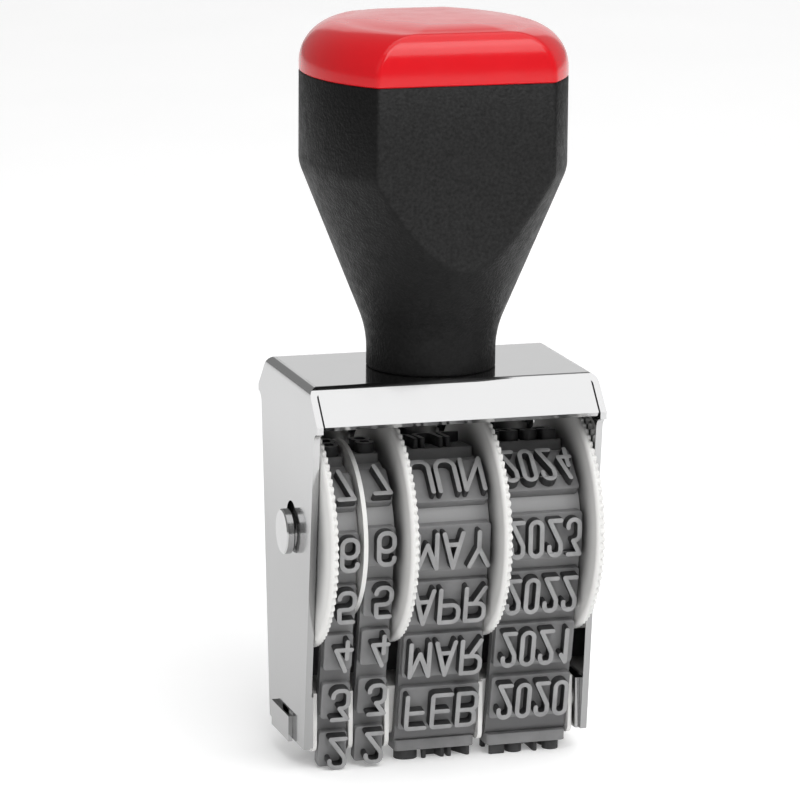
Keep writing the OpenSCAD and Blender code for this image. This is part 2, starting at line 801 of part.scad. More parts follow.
// A guide rib, which keeps neighbouring bands apart at the bridge
module rib_section() {
    rib_half = bridge_d / 2 + rib_out;
    translate([-rib_half, bare_z + rib_r])
        square([2 * rib_half, bridge_z + bridge_h - bare_z - rib_r]);
    translate([rib_r - rib_half, bare_z])
        square([2 * (rib_half - rib_r), rib_r]);
    for (side = [-1, 1])
        translate([side * (rib_half - rib_r), bare_z + rib_r])
            circle(rib_r, $fn = round_n);
}

module bridge() {
    ends = bridge_l / 2;
    pin_x = x_year_band + word_band_w + rib_gap;
    gaps = [[-ends, x_tens_band], [x_tens_band + day_band_w, x_units_band],
            [x_units_band + day_band_w, x_month_band], [x_month_band + word_band_w, x_year_band],
            [x_year_band + word_band_w, ends]];
    color(white_plastic) {
        along_x(-ends, bridge_l)
            bridge_section();
        for (g = gaps) {
            from = max(g[0] + rib_gap, -ends);
            to = min(g[1] - rib_gap, ends, from + rib_t);
            along_x(from, to - from)
                rib_section();
        }
        both_sides()
            bar(pin_x, ends + clip_t - pin_x, bridge_pin_d, pin_y, pin_z);
    }
}

// A spring clip: an inner leg on the bridge's pin and an outer leg bent out through the plate's slit
module bridge_clip() {
    front = plate_front + clip_t;
    difference() {
        union() {
            translate([clip_x, front, plate_foot_z])
                cube([clip_t - still_fit, slit_y + clip_t / 2 - front, clip_inner_h]);
            translate([clip_x, slit_y - clip_t / 2, plate_foot_z])
                cube([inner_w / 2 - clip_x + sheet_t + still_fit + clip_t, clip_t, clip_leg_h]);
            translate([frame_w / 2 + still_fit, slit_y - clip_t / 2, plate_foot_z - clip_drop])
                cube([clip_t, clip_leg_d, clip_leg_h + clip_drop]);
        }
        bar(clip_x - past, clip_t + 2 * past, bridge_pin_d + 2 * still_fit, pin_y, pin_z);
    }
}

module left_bridge_clip() {
    color(nickel)
        mirror([1, 0, 0])
            bridge_clip();
}

module right_bridge_clip() {
    color(nickel)
        bridge_clip();
}

frame();
handle();
cap();
handle_screw();
screw_washer();
axle();
left_axle_bush();
right_axle_bush();
axle_cap();
tens_wheel();
day_divider();
units_wheel();
month_wheel();
year_wheel();
tens_band();
units_band();
month_band();
year_band();
bridge();
left_bridge_clip();
right_bridge_clip();
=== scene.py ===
from math import acos, asin, atan2, cos, floor, hypot, pi, radians, sin
import bpy
from mathutils import Matrix, Vector


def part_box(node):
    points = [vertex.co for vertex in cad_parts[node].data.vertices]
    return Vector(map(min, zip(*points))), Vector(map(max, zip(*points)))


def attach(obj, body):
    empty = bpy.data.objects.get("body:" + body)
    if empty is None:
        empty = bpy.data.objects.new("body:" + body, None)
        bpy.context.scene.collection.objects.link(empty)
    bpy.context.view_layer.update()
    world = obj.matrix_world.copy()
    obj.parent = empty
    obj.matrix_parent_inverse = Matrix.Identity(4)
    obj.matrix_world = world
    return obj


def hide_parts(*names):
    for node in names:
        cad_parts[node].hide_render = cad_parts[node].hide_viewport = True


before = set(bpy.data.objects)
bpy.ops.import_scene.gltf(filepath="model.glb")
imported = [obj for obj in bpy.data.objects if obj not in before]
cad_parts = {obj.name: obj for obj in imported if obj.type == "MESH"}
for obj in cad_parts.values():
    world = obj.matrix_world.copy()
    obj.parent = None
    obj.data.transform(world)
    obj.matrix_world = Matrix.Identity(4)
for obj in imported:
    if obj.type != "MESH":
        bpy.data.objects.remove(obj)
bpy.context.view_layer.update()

# Frame: one piece of thin sheet steel, stamped out, bent down on four sides and plated with
# bright nickel. The solid has its bends already, and gets its finish here with the two short runs
# of solder that close the rear lip's ends against the side plates.
MM = 0.001
noise_span, noise_detail = (0.3, 0.7), 3
nickel_foot_z, nickel_top_z, height_wander = 22 * MM, 43 * MM, 6 * MM
shaded_nickel_foot, lit_nickel_top = (0.345, 0.345, 0.345), (0.52, 0.52, 0.522)


def new_finish(name, roughness, metallic=0.0, specular=0.5):
    """A finish with the values that are the same all over the piece."""
    material = bpy.data.materials.new(name)
    material.use_nodes = True
    shader = material.node_tree.nodes["Principled BSDF"]
    shader.inputs["Roughness"].default_value = roughness
    shader.inputs["Metallic"].default_value = metallic
    shader.inputs["Specular IOR Level"].default_value = specular
    return material


def join(material, output, socket):
    """Leads an output to a socket, or by name to the finish's own socket."""
    if isinstance(socket, str):
        socket = material.node_tree.nodes["Principled BSDF"].inputs[socket]
    material.node_tree.links.new(output, socket)


def surface_point(material, move=(0, 0, 0), stretch=(1, 1, 1)):
    """The place on the piece, stretched and then moved."""
    place = material.node_tree.nodes.new("ShaderNodeTexCoord")
    mapping = material.node_tree.nodes.new("ShaderNodeMapping")
    mapping.inputs["Location"].default_value = move
    mapping.inputs["Scale"].default_value = stretch
    join(material, place.outputs["Object"], mapping.inputs["Vector"])
    return mapping.outputs["Vector"]


def noise(material, scale, stretch=(1, 1, 1)):
    """A soft noise that lies still on the piece."""
    texture = material.node_tree.nodes.new("ShaderNodeTexNoise")
    texture.inputs["Scale"].default_value = scale
    texture.inputs["Detail"].default_value = noise_detail
    join(material, surface_point(material, stretch=stretch), texture.inputs["Vector"])
    return texture.outputs["Fac"]


def spread(material, value, span, result):
    """The value's span carried over to the result's, and held at both ends."""
    reach = material.node_tree.nodes.new("ShaderNodeMapRange")
    reach.inputs["From Min"].default_value, reach.inputs["From Max"].default_value = span
    reach.inputs["To Min"].default_value, reach.inputs["To Max"].default_value = result
    join(material, value, reach.inputs["Value"])
    return reach.outputs["Result"]


def two_tones(material, value, span, tones):
    """The colour that goes from the first tone to the second over the value's span."""
    ramp = material.node_tree.nodes.new("ShaderNodeValToRGB")
    for element, position, tone in zip(ramp.color_ramp.elements, span, tones):
        element.position = position
        element.color = (*tone, 1)
    join(material, value, ramp.inputs["Fac"])
    return ramp.outputs["Color"]


def graded_tones(material, value, scale, low, high, wander, tones):
    """Paints shade on the piece from its first tone at low to its second at high, where low wanders
    with a soft noise.
    """
    start = spread(material, noise(material, scale), (0, 1), (low - wander, low + wander))
    rise = material.node_tree.nodes.new("ShaderNodeMapRange")
    rise.interpolation_type = "SMOOTHSTEP"
    rise.inputs["From Max"].default_value = high
    join(material, value, rise.inputs["Value"])
    join(material, start, rise.inputs["From Min"])
    join(material, two_tones(material, rise.outputs["Result"], (0, 1), tones), "Base Color")


def height_tones(material, scale, low_z, high_z, tones):
    """Paints shade on the piece by height."""
    parts = material.node_tree.nodes.new("ShaderNodeSeparateXYZ")
    join(material, surface_point(material), parts.inputs["Vector"])
    graded_tones(material, parts.outputs["Z"], scale, low_z, high_z, height_wander, tones)


def gloss_drift(material, scale, low, high, stretch=(1, 1, 1)):
    """Lets the roughness drift between low and high."""
    drift = spread(material, noise(material, scale, stretch), noise_span, (low, high))
    join(material, drift, "Roughness")


def grain(material, scale, strength, depth, stretch=(1, 1, 1)):
    """Raises a fine grain on the surface."""
    bump = material.node_tree.nodes.new("ShaderNodeBump")
    bump.inputs["Strength"].default_value = strength
    bump.inputs["Distance"].default_value = depth
    join(material, noise(material, scale, stretch), bump.inputs["Height"])
    join(material, bump.outputs["Normal"], "Normal")


def dress(node, material):
    """Gives a solid its finish."""
    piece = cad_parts[node]
    piece.data.materials.clear()
    piece.data.materials.append(material)


# Painted shade: the nickel darkens towards the foot, standing in for the dimmer floor it reflects
# there.
bright_nickel = new_finish("nickel_plate_painted_shade", roughness=0.1, metallic=1.0)
height_tones(bright_nickel, scale=60, low_z=nickel_foot_z, high_z=nickel_top_z,
             tones=(shaded_nickel_foot, lit_nickel_top))
gloss_drift(bright_nickel, scale=260, low=0.07, high=0.15, stretch=(1, 1, 0.3))
grain(bright_nickel, scale=350, strength=0.03, depth=0.05 * MM, stretch=(1, 1, 0.2))
dress("frame", bright_nickel)

plate_in_x, lip_end_x = 16.25 * MM, 16.0 * MM
lip_top, lip_foot = Vector((0, 14.14, 41.6)) * MM, Vector((0, 12.84, 33.2)) * MM
lip_t, seam_soft = 0.37 * MM, 0.06 * MM


def start_piece():
    """Leaves edit mode and deselects everything."""
    if bpy.context.mode != "OBJECT":
        bpy.ops.object.mode_set(mode="OBJECT")
    bpy.ops.object.select_all(action="DESELECT")


def placed_copy(template, matrix):
    """A copy with its own mesh, moved to its place."""
    copy = template.copy()
    copy.data = template.data.copy()
    copy.data.transform(matrix)
    bpy.context.collection.objects.link(copy)
    return copy


start_piece()
lip_run = lip_top - lip_foot
lip_lean = atan2(lip_run.y, lip_run.z)
seam_middle = (lip_top + lip_foot) / 2 + Vector(((plate_in_x + lip_end_x) / 2, 0, 0))
bpy.ops.mesh.primitive_cube_add(size=1, location=seam_middle, rotation=(-lip_lean, 0, 0))
right_seam = bpy.context.object
right_seam.name = "right_lip_seam"
right_seam.scale = (plate_in_x - lip_end_x, lip_t, lip_run.length)
bpy.ops.object.transform_apply(location=True, rotation=True, scale=True)
bpy.ops.object.mode_set(mode="EDIT")
bpy.ops.mesh.select_all(action="SELECT")
bpy.ops.mesh.bevel(offset=seam_soft, segments=2, affect="EDGES")
bpy.ops.mesh.normals_make_consistent(inside=False)
bpy.ops.object.mode_set(mode="OBJECT")
right_seam.data.materials.append(bright_nickel)
left_seam = placed_copy(right_seam, Matrix.Translation((-plate_in_x - lip_end_x, 0, 0)))
left_seam.name = "left_lip_seam"
for seam in (right_seam, left_seam):
    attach(seam, "stamp_frame")

# Axle: a turned steel pin with a head at each end, the right one pressed on, held in two plain
# bushes that sit in the side plates' keyhole-shaped holes. All are turned and nickel plated.
turned_tones = ((0.5, 0.5, 0.5), (0.56, 0.56, 0.562))


def mottle(material, scale, tones):
    """Colours the piece in soft clouds of two tones."""
    clouds = two_tones(material, noise(material, scale), noise_span, tones)
    join(material, clouds, "Base Color")


turned_nickel = new_finish("turned_nickel", roughness=0.14, metallic=1.0)
mottle(turned_nickel, scale=160, tones=turned_tones)
gloss_drift(turned_nickel, scale=2500, low=0.08, high=0.2, stretch=(1, 0.05, 0.05))
grain(turned_nickel, scale=5000, strength=0.06, depth=0.02 * MM, stretch=(1, 0.04, 0.04))
for node in ("axle", "left_axle_bush", "right_axle_bush", "axle_cap"):
    dress(node, turned_nickel)

# Thumbwheels: near-white moulded plastic, each a thin rim with the drum that carries its band,
# loose on the axle. The rim is rounded on its left and notched along its right edge for the thumb,
# and its sides carry painted shade, darker towards the band. A plain disc parts the two day bands.
axle_z = 27.3 * MM
rim_w, rim_r, drum_r, bore_r = 1.0 * MM, 13.39 * MM, 6.8 * MM, 1.55 * MM
rim_round, rim_edge = 0.5 * MM, 0.06 * MM
round_steps, face_steps = 6, 5
notch_n, notch_points = 86, 6
notch_h, notch_start, notch_shape = 0.55 * MM, 0.1, 1.5
weld = 0.002 * MM
shade_r, lit_r, shade_wander = 8.6 * MM, 12.7 * MM, 0.6 * MM
shaded_white, lit_white = (0.18, 0.18, 0.178), (0.76, 0.755, 0.74)
white_tones = ((0.72, 0.715, 0.7), (0.8, 0.795, 0.78))


def ring_tones(material, scale, low_r, high_r, tones):
    """Paints shade on the wheels by the distance from the axle."""
    reach = material.node_tree.nodes.new("ShaderNodeVectorMath")
    reach.operation = "LENGTH"
    join(material, surface_point(material, (0, 0, -axle_z), (0, 1, 1)), reach.inputs[0])
    graded_tones(material, reach.outputs["Value"], scale, low_r, high_r, shade_wander, tones)


# Painted shade: the wheels' sides darken towards the axle, where the band shades them.
shaded_moulding = new_finish("white_moulding_painted_shade", roughness=0.4)
ring_tones(shaded_moulding, scale=250, low_r=shade_r, high_r=lit_r,
           tones=(shaded_white, lit_white))
white_moulding = new_finish("white_moulding", roughness=0.4)
mottle(white_moulding, scale=120, tones=white_tones)
for moulding in (shaded_moulding, white_moulding):
    gloss_drift(moulding, scale=400, low=0.34, high=0.48)
    grain(moulding, scale=2500, strength=0.05, depth=0.03 * MM)


def ringed_shell(name, rings, around, ends="NGON"):
    """A shell from its first ring to its last: each ring gives a point for each direction."""
    start_piece()
    bpy.ops.mesh.primitive_circle_add(vertices=around, radius=1, fill_type=ends, location=(0, 0, 0))
    shell = bpy.context.object
    shell.name = name
    bpy.ops.object.mode_set(mode="EDIT")
    for _ in rings[1:]:
        bpy.ops.mesh.extrude_region_move(TRANSFORM_OT_translate={"value": (0, 0, 1)})
    bpy.ops.object.mode_set(mode="OBJECT")
    for vertex in shell.data.vertices:
        angle = atan2(vertex.co.y, vertex.co.x)
        vertex.co = rings[round(vertex.co.z)](angle)
    bpy.ops.object.mode_set(mode="EDIT")
    bpy.ops.mesh.select_all(action="SELECT")
    bpy.ops.mesh.remove_doubles(threshold=weld)
    bpy.ops.mesh.normals_make_consistent(inside=False)
    bpy.ops.object.mode_set(mode="OBJECT")
    bpy.ops.object.shade_smooth_by_angle(angle=radians(40))
    return shell


def wheel_ring(x, r, notch=0.0):
    """A ring round the axle, with its notches sunk by the given depth."""
    def point(angle):
        held = r - notch * (0.5 - 0.5 * cos(notch_n * angle)) ** notch_shape
        return Vector((x, held * cos(angle), axle_z + held * sin(angle)))
    return point


def rim_rings(x):
    """The rim's rings from its left side, round its left edge and over the thumb face."""
    rings = []
    for k in range(round_steps + 1):
        a = pi / 2 * k / round_steps
        rings.append(wheel_ring(x + rim_round * (1 - cos(a)), rim_r - rim_round * (1 - sin(a))))
    for k in range(1, face_steps + 1):
        share = rim_round / rim_w + (1 - rim_round / rim_w) * k / face_steps
        fall = rim_edge if k == face_steps else 0.0
        depth = notch_h * max(0.0, (share - notch_start) / (1 - notch_start))
        rings.append(wheel_ring(x + share * rim_w, rim_r - fall, depth))
    return rings


def thumbwheel(name, node):
    """A wheel from bore to bore. The tens wheel's drum is right of its rim, the others' left."""
    low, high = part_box(node)
    if node == "tens_wheel":
        rim_x = low[0]
        left_rings = []
        right_rings = [wheel_ring(rim_x + rim_w, drum_r), wheel_ring(high[0], drum_r)]
    else:
        rim_x = high[0] - rim_w
        left_rings = [wheel_ring(low[0], drum_r), wheel_ring(rim_x, drum_r)]
        right_rings = []
    rings = [wheel_ring(low[0], bore_r), *left_rings, *rim_rings(rim_x),
             *right_rings, wheel_ring(high[0], bore_r)]
    wheel = ringed_shell(name, rings + rings[:1], notch_n * notch_points, "NOTHING")
    wheel.data.materials.append(shaded_moulding)
    return wheel


tens_wheel = thumbwheel("tens_notched_wheel", "tens_wheel")
units_wheel = thumbwheel("units_notched_wheel", "units_wheel")
month_wheel = thumbwheel("month_notched_wheel", "month_wheel")
year_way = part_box("year_wheel")[0][0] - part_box("month_wheel")[0][0]
year_wheel = placed_copy(month_wheel, Matrix.Translation((year_way, 0, 0)))
year_wheel.name = "year_notched_wheel"
for wheel, node, body in ((tens_wheel, "tens_wheel", "tens_thumbwheel"),
                          (units_wheel, "units_wheel", "units_thumbwheel"),
                          (month_wheel, "month_wheel", "month_thumbwheel"),
                          (year_wheel, "year_wheel", "year_thumbwheel")):
    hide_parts(node)
    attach(wheel, body)
dress("day_divider", white_moulding)

# Bridge and clips: a moulded bar with guide ribs, over which the bands turn at the foot. Its two
# end pins sit in spring clips of plated sheet that hook through a slit in each side plate.
dress("bridge", white_moulding)
for node in ("left_bridge_clip", "right_bridge_clip"):
    dress(node, bright_nickel)

# Type bands: four loops of moulded rubber, stretched over the drums and the bridge. Each has a bare
# strip, a raised pad for every row and tall type on the pad. Painted shade makes the type's upright
# walls near-black and the strip darker towards the foot; painted light makes the type faces paler.
band_t, band_gap = 1.0 * MM, 0.3 * MM
pad_h, pad_inset = 0.8 * MM, 0.1 * MM
pad_corner, pad_soft = 0.4 * MM, 0.1 * MM
type_h, type_sink, type_soft = 1.2 * MM, 0.1 * MM, 0.06 * MM
stroke_w, stroke_step = 0.56 * MM, 0.004 * MM
bridge_half, bridge_r, bridge_gap = 2.4 * MM, 0.6 * MM, 0.1 * MM
corner_steps, drum_steps, arc_steps = 6, 48, 8
band_weld, shortest_step = 0.005 * MM, 0.01 * MM
face_tilt = 0.6

# The path of a band's middle: along the foot, round the bridge's corners, up and over the drum.
turn_y = bridge_half - bridge_r
turn_z = type_h + pad_h + band_t + bridge_gap + bridge_r
drum_mid = drum_r + band_gap + band_t / 2
turn_mid = bridge_r + bridge_gap + band_t / 2
rise_z = axle_z - turn_z
lean = asin((drum_mid - turn_mid) / hypot(turn_y, rise_z)) - atan2(turn_y, rise_z)
foot_half = turn_y + turn_mid * (1 - sin(lean)) / cos(lean)
foot_z = turn_z - turn_mid
run_top = Vector((0, -drum_mid * cos(lean), axle_z - drum_mid * sin(lean)))
run_foot = Vector((0, -turn_y - turn_mid * cos(lean), turn_z - turn_mid * sin(lean)))
run_l = (run_top - Vector((0, -foot_half, foot_z))).length
arc_l = drum_mid * (pi + 2 * lean)
loop_l = 2 * foot_half + 2 * run_l + arc_l

grey_rubber = new_finish("grey_rubber", roughness=0.7)
mottle(grey_rubber, scale=300, tones=((0.18, 0.18, 0.182), (0.235, 0.235, 0.237)))
gloss_drift(grey_rubber, scale=500, low=0.6, high=0.78)
grain(grey_rubber, scale=1800, strength=0.25, depth=0.05 * MM)
# Painted shade: the bare strip is darker towards the foot and lighter high up.
bare_rubber = new_finish("bare_strip_painted_shade", roughness=0.6)
height_tones(bare_rubber, scale=300, low_z=8 * MM, high_z=30 * MM,
             tones=((0.15, 0.15, 0.152), (0.31, 0.31, 0.312)))
gloss_drift(bare_rubber, scale=500, low=0.5, high=0.7)
grain(bare_rubber, scale=1800, strength=0.25, depth=0.05 * MM, stretch=(0.1, 1, 1))
# Painted shade: the type's upright walls are coloured near-black.
shade_wall_rubber = new_finish("type_wall_painted_shade", roughness=0.6)
mottle(shade_wall_rubber, scale=400, tones=((0.018, 0.018, 0.019), (0.045, 0.045, 0.046)))
gloss_drift(shade_wall_rubber, scale=700, low=0.5, high=0.7)
grain(shade_wall_rubber, scale=1800, strength=0.2, depth=0.04 * MM)
# Painted light: the type's top faces are coloured paler than the pads.
lit_face_rubber = new_finish("type_face_painted_light", roughness=0.6)
mottle(lit_face_rubber, scale=500, tones=((0.25, 0.25, 0.252), (0.34, 0.34, 0.342)))
gloss_drift(lit_face_rubber, scale=700, low=0.5, high=0.7)
grain(lit_face_rubber, scale=2200, strength=0.2, depth=0.04 * MM)


def bare_band(name, low_x, high_x):
    """The plain strip: its section is drawn along the path, from the foot's middle round to it."""
    start_piece()
    middle = (low_x + high_x) / 2
    bpy.ops.mesh.primitive_plane_add(size=1, location=(middle, 0, foot_z), rotation=(pi / 2, 0, 0))
    band = bpy.context.object
    band.name = name
    band.scale = (high_x - low_x, band_t, 1)
    bpy.ops.object.transform_apply(location=True, rotation=True, scale=True)
    bpy.ops.object.mode_set(mode="EDIT")
    bpy.ops.mesh.select_all(action="SELECT")
    bpy.ops.mesh.delete(type="ONLY_FACE")
    bpy.ops.mesh.select_all(action="SELECT")
    run = run_top - run_foot
    back_run = Vector((0, run.y, -run.z))
    front_turn, back_turn = (0, -turn_y, turn_z), (0, turn_y, turn_z)
    across = (1, 0, 0)
    corner, over = pi / 2 - lean, pi + 2 * lean
    bpy.ops.mesh.extrude_edges_move(TRANSFORM_OT_translate={"value": (0, -turn_y, 0)})
    bpy.ops.mesh.spin(steps=corner_steps, angle=corner, center=front_turn, axis=across)
    bpy.ops.mesh.extrude_edges_move(TRANSFORM_OT_translate={"value": run})
    bpy.ops.mesh.spin(steps=drum_steps, angle=over, center=(0, 0, axle_z), axis=across)
    bpy.ops.mesh.extrude_edges_move(TRANSFORM_OT_translate={"value": back_run})
    bpy.ops.mesh.spin(steps=corner_steps, angle=corner, center=back_turn, axis=across)
    bpy.ops.mesh.extrude_edges_move(TRANSFORM_OT_translate={"value": (0, -turn_y, 0)})
    bpy.ops.mesh.select_all(action="SELECT")
    bpy.ops.mesh.remove_doubles(threshold=band_weld)
    bpy.ops.mesh.normals_make_consistent(inside=False)
    bpy.ops.object.mode_set(mode="OBJECT")
    band.data.materials.append(bare_rubber)
    return band


def moulded_pad(width, length):
    """A pad with rounded corners and soft edges, standing on the middle of the strip."""
    start_piece()
    height = band_t / 2 + pad_h
    bpy.ops.mesh.primitive_cube_add(size=1, location=(0, 0, height / 2))
    pad = bpy.context.object
    pad.scale = (width, length, height)
    bpy.ops.object.transform_apply(location=True, rotation=True, scale=True)
    bpy.ops.object.mode_set(mode="EDIT")
    bpy.ops.mesh.select_all(action="DESELECT")
    bpy.ops.mesh.select_mode(type="EDGE")
    bpy.ops.object.mode_set(mode="OBJECT")
    for edge in pad.data.edges:
        a, b = (pad.data.vertices[i].co for i in edge.vertices)
        edge.select = abs(a.z - b.z) > height / 2
    bpy.ops.object.mode_set(mode="EDIT")
    bpy.ops.mesh.bevel(offset=pad_corner, segments=3, affect="EDGES")
    bpy.ops.object.mode_set(mode="OBJECT")
    bpy.ops.object.modifier_add(type="BEVEL")
    soft_edge = pad.modifiers[-1]
    soft_edge.width = pad_soft
    soft_edge.segments = 2
    soft_edge.limit_method = "ANGLE"
    soft_edge.angle_limit = radians(50)
    bpy.ops.object.modifier_apply(modifier=soft_edge.name)
    pad.data.materials.append(grey_rubber)
    return pad


def bar(*points):
    """A straight stroke."""
    return False, 0, points


def bend(radius, *points):
    """A stroke whose corners turn on the radius."""
    return False, radius, points


def loop(radius, *points):
    """A closed stroke whose corners turn on the radius."""
    return True, radius, points


# The cutter's lines for each character, on a field 2 wide and 4 high, with radii in millimetres.
character_lines = {
    "0": [loop(0.8, (0, 0), (2, 0), (2, 4), (0, 4))],
    "1": [bar((1.2, 4), (1.2, 0)), bar((0.4, 3.1), (1.2, 4))],
    "2": [bend(0.8, (0, 3), (0, 4), (2, 4), (2, 2.7), (0, 0)), bar((0, 0), (2, 0))],
    "3": [bar((0, 4), (2, 4)), bar((2, 4), (0.9, 2.45)),
          bend(0.7, (0.9, 2.45), (2, 2.45), (2, 0), (0, 0), (0, 0.9))],
    "4": [bar((1.3, 4), (0, 1.1)), bar((0, 1.1), (2, 1.1)), bar((1.45, 2.3), (1.45, 0))],
    "5": [bend(0.3, (1.9, 4), (0.15, 4), (0.05, 2.3)),
          bend(0.8, (0.05, 2.3), (2, 2.3), (2, 0), (0, 0), (0, 0.8))],
    "6": [loop(0.8, (0, 0), (2, 0), (2, 2.3), (0, 2.3)),
          bend(0.8, (0, 1.2), (0, 4), (2, 4), (2, 3.2))],
    "7": [bar((0, 4), (2, 4)), bar((2, 4), (0.6, 0))],
    "8": [loop(0.8, (0, 0), (2, 0), (2, 2.1), (0, 2.1)),
          loop(0.8, (0.1, 2.1), (1.9, 2.1), (1.9, 4), (0.1, 4))],
    "9": [loop(0.8, (0, 1.7), (2, 1.7), (2, 4), (0, 4)),
          bend(0.8, (2, 2.8), (2, 0), (0, 0), (0, 0.8))],
    "A": [bar((0, 0), (1, 4)), bar((1, 4), (2, 0)), bar((0.4, 1.3), (1.6, 1.3))],
    "B": [bar((0, 0), (0, 4)), bend(0.7, (0, 4), (1.8, 4), (1.8, 2.1), (0, 2.1)),
          bend(0.7, (0, 2.1), (2, 2.1), (2, 0), (0, 0))],
    "C": [bend(0.9, (2, 3), (2, 4), (0, 4), (0, 0), (2, 0), (2, 1))],
    "D": [bar((0, 0), (0, 4)), bend(1.0, (0, 4), (2, 4), (2, 0), (0, 0))],
    "E": [bend(0.3, (2, 4), (0, 4), (0, 0), (2, 0)), bar((0, 2.05), (1.7, 2.05))],
    "F": [bend(0.3, (2, 4), (0, 4), (0, 0)), bar((0, 2.05), (1.7, 2.05))],
    "G": [bend(0.9, (2, 3.1), (2, 4), (0, 4), (0, 0), (2, 0), (2, 1.9)),
          bar((2, 1.9), (1.1, 1.9))],
    "J": [bend(0.9, (2, 4), (2, 0), (0, 0), (0, 1))],
    "L": [bend(0.3, (0, 4), (0, 0), (2, 0))],
    "M": [bar((0, 0), (0, 4)), bar((0, 4), (1, 1.2)), bar((1, 1.2), (2, 4)), bar((2, 4), (2, 0))],
    "N": [bar((0, 0), (0, 4)), bar((0, 4), (2, 0)), bar((2, 0), (2, 4))],
    "O": [loop(0.9, (0, 0), (2, 0), (2, 4), (0, 4))],
    "P": [bar((0, 0), (0, 4)), bend(0.8, (0, 4), (2, 4), (2, 1.9), (0, 1.9))],
    "R": [bar((0, 0), (0, 4)), bend(0.8, (0, 4), (2, 4), (2, 1.9), (0, 1.9)),
          bar((0.9, 1.9), (2, 0))],
    "S": [bend(0.8, (2, 3.1), (2, 4), (0, 4), (0, 2.1), (2, 2.1), (2, 0), (0, 0), (0, 0.9))],
    "T": [bar((0, 4), (2, 4)), bar((1, 4), (1, 0))],
    "U": [bend(1.0, (0, 4), (0, 0), (2, 0), (2, 4))],
    "V": [bar((0, 4), (1, 0)), bar((1, 0), (2, 4))],
    "Y": [bar((0, 4), (1, 1.9)), bar((2, 4), (1, 1.9)), bar((1, 1.9), (1, 0))],
}
field_w, field_h = 2, 4


def rounded_line(points, radius, closed):
    """The line with every corner turned on an arc, as a list of points."""
    half_way, nearly_all = 0.5, 0.95
    turns = range(len(points)) if closed else range(1, len(points) - 1)
    line = [] if closed else [points[0]]
    for i in turns:
        before, at, after = points[i - 1], points[i], points[(i + 1) % len(points)]
        into, out = (at - before).normalized(), (after - at).normalized()
        angle = into.angle(out)
        room_in = (at - before).length * (half_way if closed or i > 1 else nearly_all)
        last_turn = not closed and i == len(points) - 2
        room_out = (after - at).length * (nearly_all if last_turn else half_way)
        reach = min(radius * sin(angle / 2) / cos(angle / 2), room_in, room_out)
        start, stop = at - into * reach, at + out * reach
        for k in range(arc_steps + 1):
            t = k / arc_steps
            a, b, c = (1 - t) ** 2, 2 * t * (1 - t) * cos(angle / 2), t ** 2
            line.append((start * a + at * b + stop * c) / (a + b + c))
    line = line if closed else line + [points[-1]]
    return [point for i, point in enumerate(line) if (point - line[i - 1]).length > shortest_step]


def side_line(line, offset, closed):
    """The line moved sideways by the offset."""
    moved = []
    for i, point in enumerate(line):
        before = line[i - 1] if closed or i else point
        after = line[(i + 1) % len(line)] if closed or i + 1 < len(line) else point
        way = (after - before).normalized()
        moved.append(point + Vector((-way.y, way.x)) * offset)
    return moved


def round_end(centre, way):
    """Half a turn round a stroke's end, from its left side to its right side."""
    left = atan2(way.y, way.x) + pi / 2
    angles = [left - pi * k / arc_steps for k in range(1, arc_steps)]
    return [centre + Vector((cos(angle), sin(angle))) * stroke_w / 2 for angle in angles]


def stroke_outlines(line, closed):
    """The outline of a stroke along the line: one ring, or two for a closed stroke."""
    left, right = side_line(line, stroke_w / 2, closed), side_line(line, -stroke_w / 2, closed)
    if closed:
        return [left, right[::-1]]
    return [left + round_end(line[-1], (line[-1] - line[-2]).normalized())
            + right[::-1] + round_end(line[0], (line[0] - line[1]).normalized())]


def type_character(letter, width, height):
    """One character of raised type, reading mirror-wise, on the plane of its pad's top."""
    strokes = []
    for closed, radius, points in character_lines[letter]:
        corners = [Vector(((x / field_w - 0.5) * width, (0.5 - y / field_h) * (height - stroke_w)))
                   for x, y in points]
        start_piece()
        outline = bpy.data.curves.new("stroke", "CURVE")
        outline.dimensions = "2D"
        outline.fill_mode = "BOTH"
        outline.extrude = (type_h + type_sink) / 2 - type_soft
        outline.bevel_depth = type_soft
        outline.bevel_resolution = 1
        outline.offset = -type_soft
        for ring in stroke_outlines(rounded_line(corners, radius * MM, closed), closed):
            spline = outline.splines.new("POLY")
            spline.points.add(len(ring) - 1)
            spline.use_cyclic_u = True
            for place, point in zip(spline.points, ring):
                place.co = (point.x, point.y, 0, 1)
        stroke = bpy.data.objects.new("stroke", outline)
        stroke.location.z = -stroke_step * len(strokes)
        bpy.context.collection.objects.link(stroke)
        bpy.context.view_layer.objects.active = stroke
        stroke.select_set(True)
        bpy.ops.object.convert(target="MESH")
        strokes.append(bpy.context.object)
    for stroke in strokes:
        stroke.select_set(True)
    bpy.context.view_layer.objects.active = strokes[0]
    if len(strokes) > 1:
        bpy.ops.object.join()
    piece = bpy.context.object
    piece.data.transform(Matrix.Translation((0, 0, band_t / 2 + pad_h + (type_h - type_sink) / 2)))
    bpy.ops.object.mode_set(mode="EDIT")
    bpy.ops.mesh.select_all(action="SELECT")
    bpy.ops.mesh.remove_doubles(threshold=weld)
    bpy.ops.mesh.normals_make_consistent(inside=False)
    bpy.ops.object.mode_set(mode="OBJECT")
    piece.data.materials.clear()
    piece.data.materials.append(shade_wall_rubber)
    piece.data.materials.append(lit_face_rubber)
    # Painted shade and light: faces that look up take the paler type-face finish, the upright walls
    # the near-black one.
    for face in piece.data.polygons:
        face.material_index = 1 if face.normal.z > face_tilt else 0
    return piece


